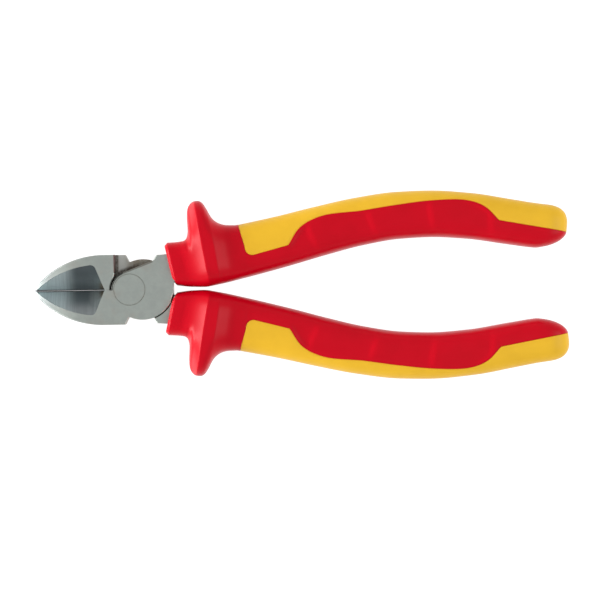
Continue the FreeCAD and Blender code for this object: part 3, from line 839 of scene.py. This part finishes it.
def forged_colour(n, x):
    """Bare steel: mottled and warmer in patches, with painted shade that darkens the nose and the
    slanted faces, most towards the nose.
    """
    base = n.mix(n.ramp(n.noise(500.0, 4.0, 0.6), 0.3, 0.75), STEEL_PALE, STEEL_DULL)
    base = n.mix(n.ramp(n.noise(140.0, 3.0, 0.6), 0.45, 0.7, 0.0, 0.6), base, STEEL_WARM)
    # painted shade towards the nose
    base = n.mix(n.ramp(x, -0.0285, -0.0205, 0.9, 0.0), base, STEEL_NOSE_PAINTED_SHADE)
    normal = n.new("ShaderNodeSeparateXYZ", {"Vector": n.facing})
    upright = n.math("ABSOLUTE", normal.outputs["Z"])
    # painted shade on slanted faces, weighted towards the nose
    slanted = both(n, n.ramp(upright, 0.1, 0.3), n.ramp(upright, 0.6, 0.9, 1.0, 0.0))
    wear_and_shade = n.ramp(x, -0.026, -0.014, 0.75, 0.25)
    return n.mix(both(n, slanted, wear_and_shade), base, STEEL_SLANTED_PAINTED_SHADE)


def rivet_stain(n, radius, base):
    """Faint brown stain along the joint round the rivet."""
    ring = n.math("ABSOLUTE", n.math("SUBTRACT", radius, RING_RADIUS))
    stain = n.ramp(ring, 0.00005, 0.0005, 0.25, 0.0)
    blotch = n.ramp(n.noise(420.0, 3.0), 0.35, 0.65, 0.35, 1.0)
    return n.mix(both(n, stain, blotch), base, RIVET_STAIN)


def steel(name):
    """Satin ground tool steel, with painted reflection and shade on the pockets at the cutting
    edges, painted shade along their closed gap, at the nose, on slanted faces and round the lap
    plates, the recess and the shoulder, old oil on the steps and a stain round the rivet.
    """
    n = Nodes(name)
    x, y, z = n.new("ShaderNodeSeparateXYZ", {"Vector": n.place}).outputs
    radius = n.math("SQRT", n.math("ADD", n.math("MULTIPLY", x, x), n.math("MULTIPLY", y, y)))
    base = recess_oil_and_shade(n, x, y, z, forged_colour(n, x))
    base = lap_edge_grime_and_shade(n, x, y, z, radius, base)
    base = shaded_shoulder(n, x, y, z, base)
    # painted shade: a dark line along the closed cutting edges, where the narrow gap between them
    # is
    near_edge = n.math("LESS_THAN", n.math("ABSOLUTE", y), CUT_GAP_SHADE_HALF_WIDTH)
    base = n.mix(both(n, near_edge, n.math("LESS_THAN", x, CUT_GAP_SHADE_HEEL_X)), base, CUT_GAP_PAINTED_SHADE)
    base = n.mix(pocket_mask(n, x, y, z), base, ground_colour(n, x, y))
    n.put(n.shader.inputs["Base Color"], rivet_stain(n, radius, base))
    n.shader.inputs["Metallic"].default_value = 1.0
    grain = n.noise(6000.0, 4.0, 0.7)
    n.put(n.shader.inputs["Roughness"], n.ramp(grain, 0.2, 0.8, 0.42, 0.52))
    scratches = n.noise(1.0, 4.0, 0.6, n.squeezed((300.0, 9000.0, 3000.0)))
    first = n.bump(scratches, 0.00001, 0.2)
    n.put(n.shader.inputs["Normal"], n.bump(grain, 0.000008, 0.3, first))
    return n.material


def floor_material():
    """Pale card that is bright by itself, so that the picture's background stays white."""
    n = Nodes("floor_card")
    tint = n.mix(n.noise(30.0, 3.0), (0.24, 0.24, 0.24, 1.0), (0.27, 0.27, 0.27, 1.0))
    n.put(n.shader.inputs["Base Color"], tint)
    n.put(n.shader.inputs["Roughness"], n.ramp(n.noise(400.0, 2.0), 0.3, 0.7, 0.75, 0.9))
    n.shader.inputs["Specular IOR Level"].default_value = 0.1
    n.shader.inputs["Emission Color"].default_value = (1.0, 1.0, 1.0, 1.0)
    n.shader.inputs["Emission Strength"].default_value = 0.95
    return n.material


# ---------------------------------------------------------------- pieces

def piece(name, mesh, material, body, node):
    """Shows a mesh as a piece that rides on a body and stands for a CAD node."""
    mesh.materials.clear()
    mesh.materials.append(material)
    shown = bpy.data.objects.new(name, mesh)
    bpy.context.scene.collection.objects.link(shown)
    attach(shown, body)
    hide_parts(node)


def turned_over(mesh, name):
    """The same piece on the lower handle: turned half round about the tool's long axis."""
    copy = mesh.copy()
    copy.name = name
    middle = Matrix.Translation((0, 0, MID_Z * MM))
    copy.transform(middle @ Matrix.Rotation(math.pi, 4, "X") @ middle.inverted())
    return copy


def grips():
    red = plastic("cover_red", RED, RED_SHADE, 0.36, 0.17)
    yellow = plastic("core_yellow", YELLOW, YELLOW_SHADE, 0.42, 0.20)
    line = boundary_line()
    cover = cover_mesh(line)
    core = core_mesh(line)
    piece("upper_cover", cover, red, "moving_half", "upper_grip_cover")
    piece("upper_core", core, yellow, "moving_half", "upper_grip_core")
    lower_cover = turned_over(cover, "lower_cover_mesh")
    lower_core = turned_over(core, "lower_core_mesh")
    piece("lower_cover", lower_cover, red, "fixed_half", "lower_grip_cover")
    piece("lower_core", lower_core, yellow, "fixed_half", "lower_grip_core")


def head():
    metal = steel("lever_satin")
    for name in ("front_lever", "back_lever", "pivot_rivet"):
        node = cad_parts[name]
        for slot in node.material_slots:
            slot.material = metal


# ---------------------------------------------------------------- stage

PICTURE_WIDTH = 0.2022      # in metres, at the tool's middle height
LENS = 160.0
SENSOR = 36.0
AIM = (0.0571, -0.00444)
ROLL = 0.95                 # degrees
FAR = 20.0
STUDIO_MIDDLE = (0.06, 0.0, 0.0)
FLOOR_RADIUS = 3.0
FLOOR_DROP = 0.0001         # the floor lies this much under the tool


def camera():
    """Looks straight down on the tool, with a long lens."""
    data = bpy.data.cameras.new("camera")
    data.lens = LENS
    data.sensor_width = SENSOR
    shown = bpy.data.objects.new("camera", data)
    distance = PICTURE_WIDTH / 2 * LENS / (SENSOR / 2)
    shown.location = (AIM[0], AIM[1], MID_Z * MM + distance)
    shown.rotation_euler = (0, 0, math.radians(-ROLL))
    data.clip_end = FAR
    bpy.context.scene.collection.objects.link(shown)
    bpy.context.scene.camera = shown


def softbox(name, place, size, watts):
    """Rectangular light that faces the middle of the studio."""
    data = bpy.data.lights.new(name, "AREA")
    data.shape = "RECTANGLE"
    data.size, data.size_y = size
    data.energy = watts
    shown = bpy.data.objects.new(name, data)
    shown.location = place
    aim = Vector(STUDIO_MIDDLE) - Vector(place)
    shown.rotation_euler = aim.to_track_quat("-Z", "Y").to_euler()
    bpy.context.scene.collection.objects.link(shown)


def surroundings():
    """World that is dim overhead, lighter towards the horizon and white under the tool."""
    world = bpy.data.worlds.new("studio")
    world.use_nodes = True
    tree = world.node_tree
    background = tree.nodes["Background"]
    direction = tree.nodes.new("ShaderNodeTexCoord")
    parts = tree.nodes.new("ShaderNodeSeparateXYZ")
    shade = tree.nodes.new("ShaderNodeValToRGB")
    tree.links.new(direction.outputs["Generated"], parts.inputs["Vector"])
    tree.links.new(parts.outputs["Z"], shade.inputs["Fac"])
    tree.links.new(shade.outputs["Color"], background.inputs["Color"])
    stops = shade.color_ramp.elements
    stops[0].position, stops[0].color = 0.0, (1.0, 1.0, 1.0, 1.0)
    stops[1].position, stops[1].color = 0.95, (0.44, 0.44, 0.445, 1.0)
    horizon = stops.new(0.35)
    horizon.color = (0.50, 0.505, 0.51, 1.0)
    return world


def floor():
    """Round white floor just under the tool. It lights nothing, and no reflection shows it."""
    low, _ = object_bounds()
    mesh = bpy.data.meshes.new("floor")
    work = bmesh.new()
    bmesh.ops.create_circle(work, cap_ends=True, segments=96, radius=FLOOR_RADIUS)
    work.to_mesh(mesh)
    work.free()
    mesh.materials.append(floor_material())
    shown = bpy.data.objects.new("floor", mesh)
    shown.location = (STUDIO_MIDDLE[0], STUDIO_MIDDLE[1], low.z - FLOOR_DROP)
    shown.visible_glossy = False
    shown.visible_diffuse = False
    bpy.context.scene.collection.objects.link(shown)
    shown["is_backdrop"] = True


def studio():
    floor()
    softbox("key", (-0.9, 0.0, 0.22), (1.0, 0.3), 12.0)
    softbox("fill", (0.95, 0.0, 0.75), (0.8, 0.8), 5.0)
    bpy.context.scene.world = surroundings()
    bpy.context.scene.view_settings.view_transform = "Standard"


camera()
grips()
head()
studio()
